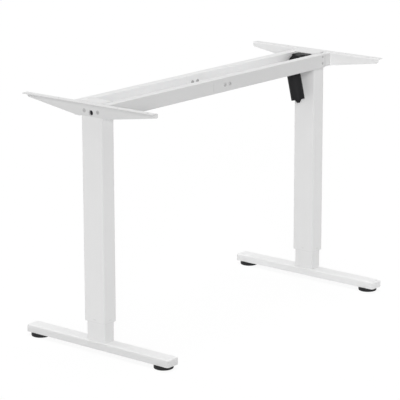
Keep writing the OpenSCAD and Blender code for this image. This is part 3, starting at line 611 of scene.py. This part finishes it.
def motor_shell():
    """The can from the boss at its lower end, over the crimped rim and two grooves, to the top."""
    rows = [
        (3.4, -BOSS_LEN), (4.6, 0.5 - BOSS_LEN), (5.2, 1.6 - BOSS_LEN), (5.4, 2.2 - BOSS_LEN),
        (8.4, -4.6), (8.9, -4.4), (10.9, -0.4), (11.1, 0.9), (18.4, 0.9),
        (18.9, crimped(-0.5, 1.4)), (20.5, crimped(-0.5, 1.4)), (CAN_R, crimped(0.1, 1.2)),
    ]
    for z in (5.0, CAN_LEN - 9.0):
        rows += [(CAN_R, z), (CAN_R - GROOVE, z + 0.5), (CAN_R - GROOVE, z + 1.1), (CAN_R, z + 1.6)]
    rows += [
        (CAN_R, CAN_LEN - 0.4), (CAN_R - 0.4, CAN_LEN), (4.8, CAN_LEN),
        (4.8, CAN_LEN - 6.6), (0.5, CAN_LEN - 6.6),
    ]
    return skin([ring(circle(r), z, CAN_STEPS) for r, z in rows])


def make_motor():
    low = Matrix.Translation((0.0, 0.0, CAN_TOP - CAN_LEN))
    down = Matrix.Rotation(math.pi, 4, "X")
    screws = []
    for turn in PLATE_SCREW_TURNS:
        angle = math.radians(turn)
        x, y = PLATE_SCREW_R * math.cos(angle), PLATE_SCREW_R * math.sin(angle)
        spot = Matrix.Translation((x, y, 1.0))
        screws.append(placed(socket_head(2.2, 1.1, 2.0), spot @ down))
    shell = placed(joined([motor_shell()] + screws), worm_matrix() @ low)
    make_piece("motor_can", shell, "right_frame", "motor_black", ("motor",))


# Screws and bolts

def solids_of(node):
    """Lowest and highest corner in mm of each separate solid of a node."""
    work = bmesh.new()
    work.from_mesh(frame["nodes"][node].data)
    bmesh.ops.remove_doubles(work, verts=work.verts, dist=SAME_SPOT)
    seen, found = set(), []
    for start in work.verts:
        if start.index in seen:
            continue
        island, queue = [], [start]
        seen.add(start.index)
        while queue:
            vertex = queue.pop()
            island.append(vertex.co / MM)
            for edge in vertex.link_edges:
                other = edge.other_vert(vertex)
                if other.index not in seen:
                    seen.add(other.index)
                    queue.append(other)
        low = [min(point[axis] for point in island) for axis in range(3)]
        high = [max(point[axis] for point in island) for axis in range(3)]
        found.append((low, high))
    work.free()
    return found


BOLT_PITCH = 1.0
BOLT_THREAD = 0.3
FLAT_STEPS = 36
FLAT_HEAD_H = 2.4
FLAT_SOCKET = 4.0
FLAT_SHANK_R = 3.0
# Height of the head, size of its socket, radius of the shank, pitch and depth of the thread
RAIL_BOLTS = {
    "lock_bolts": (3.2, 3.6, 3.0, BOLT_PITCH, BOLT_THREAD),
    "stub_screws": (1.5, 2.6, 2.0, 0.8, 0.25),
}


def make_rail_bolts():
    """The bolts of the rails and the screws of the stubs, with heads at the front."""
    for node, (head_h, across, shank_r, pitch, depth) in RAIL_BOLTS.items():
        shells = []
        for low, high in solids_of(node):
            seat = low[1] + head_h
            spot = ((low[0] + high[0]) / 2, seat, (low[2] + high[2]) / 2)
            head = socket_head((high[0] - low[0]) / 2, head_h, across)
            shells.append(placed(head, along(spot, FORWARD)))
            shank = threaded(shank_r, -0.2, high[1] - seat, pitch, depth)
            shells.append(placed(shank, along(spot, BACKWARD)))
        make_piece(f"{node}_threaded", joined(shells), "right_frame", "white_screws", (node,))


def countersunk(radius, height, across, shank_r, shank_len):
    """Flat screw, its face at height zero: head, socket and threaded shank downwards."""
    rows = [
        (circle(shank_r), -height), (circle(radius), -0.25), (circle(radius - 0.1), 0.0),
        (hexagon(across * 1.1), 0.0), (hexagon(across), -0.15),
        (hexagon(across), -height * 0.75), (hexagon(across * 0.2), -height * 0.85),
    ]
    head = skin([ring(shape, z, FLAT_STEPS) for shape, z in rows])
    shank = threaded(shank_r, -shank_len, 0.1 - height, BOLT_PITCH, BOLT_THREAD)
    return joined([head, shank])


def make_bracket_screws():
    for side, out in (("right", 1.0), ("left", -1.0)):
        node = f"{side}_bracket_screws"
        shells = []
        for low, high in solids_of(node):
            face = high[0] if out > 0 else low[0]
            spot = (face, (low[1] + high[1]) / 2, (low[2] + high[2]) / 2)
            radius, length = (high[1] - low[1]) / 2, high[0] - low[0]
            flat = countersunk(radius, FLAT_HEAD_H, FLAT_SOCKET, FLAT_SHANK_R, length)
            shells.append(placed(flat, along(spot, (out, 0.0, 0.0))))
        make_piece(f"{node}_flat", joined(shells), f"{side}_frame", "white_screws", (node,))


# Gear case: a shallower foot, cover screws and a plug over the worm's end

# The foot's plate starts this far from the case's right end, and below this height it is drawn up
FOOT_PLATE = 3.0 * 1.1
FOOT_LOW = 682.0
FOOT_SHARE = 0.55
COVER_SCREW_R = 14.2
COVER_SCREW_TURNS = (45.0, 135.0, 225.0, 315.0)
WORM_CASE_TOP = 14.1


def make_gear_case():
    """The CAD's case with a shallower foot, which ends behind the rail."""
    node = frame["nodes"]["gear_case"]
    mesh = node.data.copy()
    mesh.name = "gear_case_cast"
    high = node_box("gear_case")[1]
    for vertex in mesh.vertices:
        x, z = vertex.co.x / MM, vertex.co.z / MM
        if x > high[0] - FOOT_PLATE and z < FOOT_LOW:
            vertex.co.z = (FOOT_LOW - (FOOT_LOW - z) * FOOT_SHARE) * MM
    mesh.materials.clear()
    mesh.materials.append(materials["case_black"])
    made = bpy.data.objects.new("gear_case_cast", mesh)
    scene.collection.objects.link(made)
    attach(made, "right_frame")
    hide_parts("gear_case")


def make_case_details():
    """Screws of the case's cover and the plug over the worm."""
    wheel = joints["shaft_turn"]["pos_m"]
    cover_face = node_box("gear_case_cover")[0][0]
    centre_y, centre_z = wheel[1] / MM, wheel[2] / MM
    shells = []
    for turn in COVER_SCREW_TURNS:
        angle = math.radians(turn)
        y, z = COVER_SCREW_R * math.cos(angle), COVER_SCREW_R * math.sin(angle)
        spot = (cover_face, centre_y + y, centre_z + z)
        shells.append(placed(socket_head(2.6, 1.4, 2.4), along(spot, (-1.0, 0.0, 0.0))))
    plug = lathe([(5.6, -0.1), (5.6, 0.7), (5.2, 1.0), (3.0, 1.0), (2.6, 0.5), (0.5, 0.5)])
    shells.append(placed(plug, worm_matrix() @ Matrix.Translation((0.0, 0.0, WORM_CASE_TOP))))
    make_piece("gear_case_fittings", joined(shells), "right_frame", "black_screws")


SOCKET_TURN = -50.0
SOCKET_LEN = 16.0
SOCKET_PINS = (-3.0, -1.0, 1.0, 3.0)
# How far the row of contacts lies outside the can
PINS_OUT = 4.6 - 1.5


def make_socket_pins():
    """Contacts inside the motor's cable socket."""
    turn = Matrix.Rotation(math.radians(SOCKET_TURN), 4, "Z")
    bottom = CAN_TOP - SOCKET_LEN * 2
    shells = []
    for x in SOCKET_PINS:
        spot = Matrix.Translation((x, CAN_R + PINS_OUT, bottom))
        rows = [(0.3, 2.0), (0.6, 2.6), (0.6, SOCKET_LEN / 2 + 0.2)]
        pin = skin([ring(circle(r), z, 8) for r, z in rows])
        shells.append(placed(pin, worm_matrix() @ turn @ spot))
    make_piece("motor_socket_pins", joined(shells), "right_frame", "machined_steel")


# Weld beads where the stubs and the left rails end

SEAM_R = 0.9
SEAM_STEP = 3.0
SEAM_SINK = SEAM_R * 0.3
SEAM_SHARP = 80.0
SEAM_ENDS = (
    ("right", 1.0, ("rail_stubs",)),
    ("left", -1.0, ("front_left_rail", "back_left_rail")),
)
# Thinnest share of a bead's radius, between two of its scales, and what the scales add
SCALE_LOW = 0.82
SCALE_WAVE = 0.18
BEAD_STEPS = 10


def box_outline(low, high, corner=2.5, steps=6):
    """Rounded outline across a rail, open at the top."""
    y0, y1, z0, z1 = low[1], high[1], low[2], high[2]
    points = [(y0, z1 - corner), (y0, z0 + corner)]
    for step in range(1, steps + 1):
        angle = math.pi + math.pi / 2 * step / steps
        points.append((y0 + corner + corner * math.cos(angle), z0 + corner + corner * math.sin(angle)))
    points.append((y1 - corner, z0))
    for step in range(1, steps + 1):
        angle = math.pi * 1.5 + math.pi / 2 * step / steps
        points.append((y1 - corner + corner * math.cos(angle), z0 + corner + corner * math.sin(angle)))
    points.append((y1, z1 - corner))
    return points


def bead(path, radius):
    """Weld bead along a path of points: overlapping scales, thicker in their middle."""
    spaced = []
    for first, last in zip(path, path[1:]):
        first, last = Vector(first), Vector(last)
        count = max(1, round((last - first).length / (SEAM_STEP / 4)))
        spaced += [first.lerp(last, step / count) for step in range(count)]
    spaced.append(Vector(path[-1]))
    rings = []
    for index, spot in enumerate(spaced):
        before, after = spaced[max(0, index - 1)], spaced[min(len(spaced) - 1, index + 1)]
        matrix = along(spot, after - before)
        scale = SCALE_LOW + SCALE_WAVE * abs(math.sin(index * math.pi / 4))
        outline = ring(circle(radius * scale), 0.0, BEAD_STEPS)
        rings.append([tuple(matrix @ Vector(point)) for point in outline])
    return skin(rings)


def make_seams():
    """One piece of weld beads for each end of the frame."""
    for side, out, nodes in SEAM_ENDS:
        shells = []
        for node in nodes:
            boxes = solids_of(node) if node == "rail_stubs" else [node_box(node)]
            for low, high in boxes:
                end = high[0] if out > 0 else low[0]
                path = [(end - out * SEAM_SINK, y, z) for y, z in box_outline(low, high)]
                shells.append(bead(path, SEAM_R))
        shell = joined(shells)
        make_piece(f"{side}_rail_seams", shell, f"{side}_frame", "powder_white", sharp=SEAM_SHARP)


# Liners in the ends of the outer rails, coloured near black as painted shade: they make the dark line of shadow
# where the stubs come out

LINER_T = 2.4
LINER_LIP = 0.15
LINER_EDGE = 0.3
LINER_CORNERS = (1.6, 2.0, 1.8)
RAIL_CLEAR = 1.1


def rounded_ring(half_y, half_z, corner, x, steps=6):
    """Closed rounded outline across a rail."""
    points = []
    for quarter, (sy, sz) in enumerate(((1, 1), (-1, 1), (-1, -1), (1, -1))):
        for step in range(steps + 1):
            angle = math.pi / 2 * (quarter + step / steps)
            points.append((
                x,
                sy * (half_y - corner) + corner * math.cos(angle),
                sz * (half_z - corner) + corner * math.sin(angle),
            ))
    return points


def make_rail_ends():
    """A soft liner closes the step from each outer rail to the stub inside it; its near-black colour is painted
    shade of the gap at that step.
    """
    shells = []
    stubs = sorted(solids_of("rail_stubs"), key=lambda solid: solid[0][1])
    bore, outer, bevel = LINER_CORNERS
    for node, stub in zip(("front_outer_rail", "back_outer_rail"), stubs):
        low, high = node_box(node)
        middle = Matrix.Translation((high[0], (low[1] + high[1]) / 2, (low[2] + high[2]) / 2))
        half_y, half_z = (high[1] - low[1]) / 2 - RAIL_CLEAR, (high[2] - low[2]) / 2 - RAIL_CLEAR
        core_y = (stub[1][1] - stub[0][1]) / 2 - LINER_LIP
        core_z = (stub[1][2] - stub[0][2]) / 2 - LINER_LIP
        rings = [
            rounded_ring(core_y, core_z, bore, 0.0),
            rounded_ring(half_y, half_z, outer, 0.0),
            rounded_ring(half_y, half_z, outer, LINER_T - LINER_EDGE),
            rounded_ring(half_y - LINER_EDGE, half_z - LINER_EDGE, bevel, LINER_T),
            rounded_ring(core_y, core_z, bore, LINER_T),
        ]
        shells.append(placed(tunnel(rings), middle))
    liner = make_piece("outer_rail_liners", joined(shells), "right_frame", "collar_grey")
    # Painted shade: the liners take the near-black coat instead of their own grey
    liner.data.materials[0] = materials["seam_grey"]


# Collar of the drive tube with a knurled thumb screw

KNURLS = 24
KNOB_STEPS = 72
COLLAR_STEPS = 96
COLLAR_BORE = 7.4
COLLAR_BEVEL = 0.8
KNOB_GRIP = 1.6


def make_collar():
    low, high = node_box("drive_tube_collar")
    wheel = joints["tube_turn"]["pos_m"]
    y, z = wheel[1] / MM, wheel[2] / MM
    length = high[0] - low[0]
    radius = (high[1] - low[1]) / 2
    rows = [
        (COLLAR_BORE, 0.0), (radius - COLLAR_BEVEL, 0.0), (radius, COLLAR_BEVEL),
        (radius, length - COLLAR_BEVEL), (radius - COLLAR_BEVEL, length), (COLLAR_BORE, length),
    ]
    body = tunnel([ring(circle(r), height, COLLAR_STEPS) for r, height in rows])
    shells = [placed(body, along((low[0], y, z), AXIS_X))]
    knob_r = length / 4
    top = high[2] - z
    shallow, deep = fluted(knob_r, KNURLS, 0.1), fluted(knob_r, KNURLS, 0.45)
    rows = [
        (circle(knob_r * 0.6), radius - 1.5), (circle(knob_r * 0.6), radius + 0.2),
        (circle(knob_r * 0.7), radius + 0.4), (shallow, radius + 0.8), (deep, radius + KNOB_GRIP),
        (deep, top - 0.6), (circle(knob_r * 0.85), top), (circle(knob_r * 0.3), top),
        (circle(knob_r * 0.25), top - 0.4),
    ]
    knob = skin([ring(shape, height, KNOB_STEPS) for shape, height in rows])
    shells.append(placed(knob, Matrix.Translation(((low[0] + high[0]) / 2, y, z))))
    shell = joined(shells)
    make_piece("drive_tube_grip_collar", shell, "drive_tube_set", "slide_nylon", ("drive_tube_collar",))


make_camera()
make_world()
make_floor()
for lamp_name, lamp_facts in LAMPS.items():
    make_lamp(lamp_name, *lamp_facts)
scene.view_settings.view_transform = "Standard"

materials = make_materials()
joints = {joint["name"]: joint for joint in frame["joints"]}
slot_of = {part["node"]: part["material_slot"] for part in frame["record"]["subparts"]}
for name, node in frame["nodes"].items():
    node.data.materials.clear()
    node.data.materials.append(white_coat_with_painted_light(name) if name in PAINTED_LIGHT_TONES else materials[slot_of[name]])

make_glides()
make_motor()
make_socket_pins()
make_gear_case()
make_case_details()
make_rail_bolts()
make_bracket_screws()
make_seams()
make_rail_ends()
make_collar()
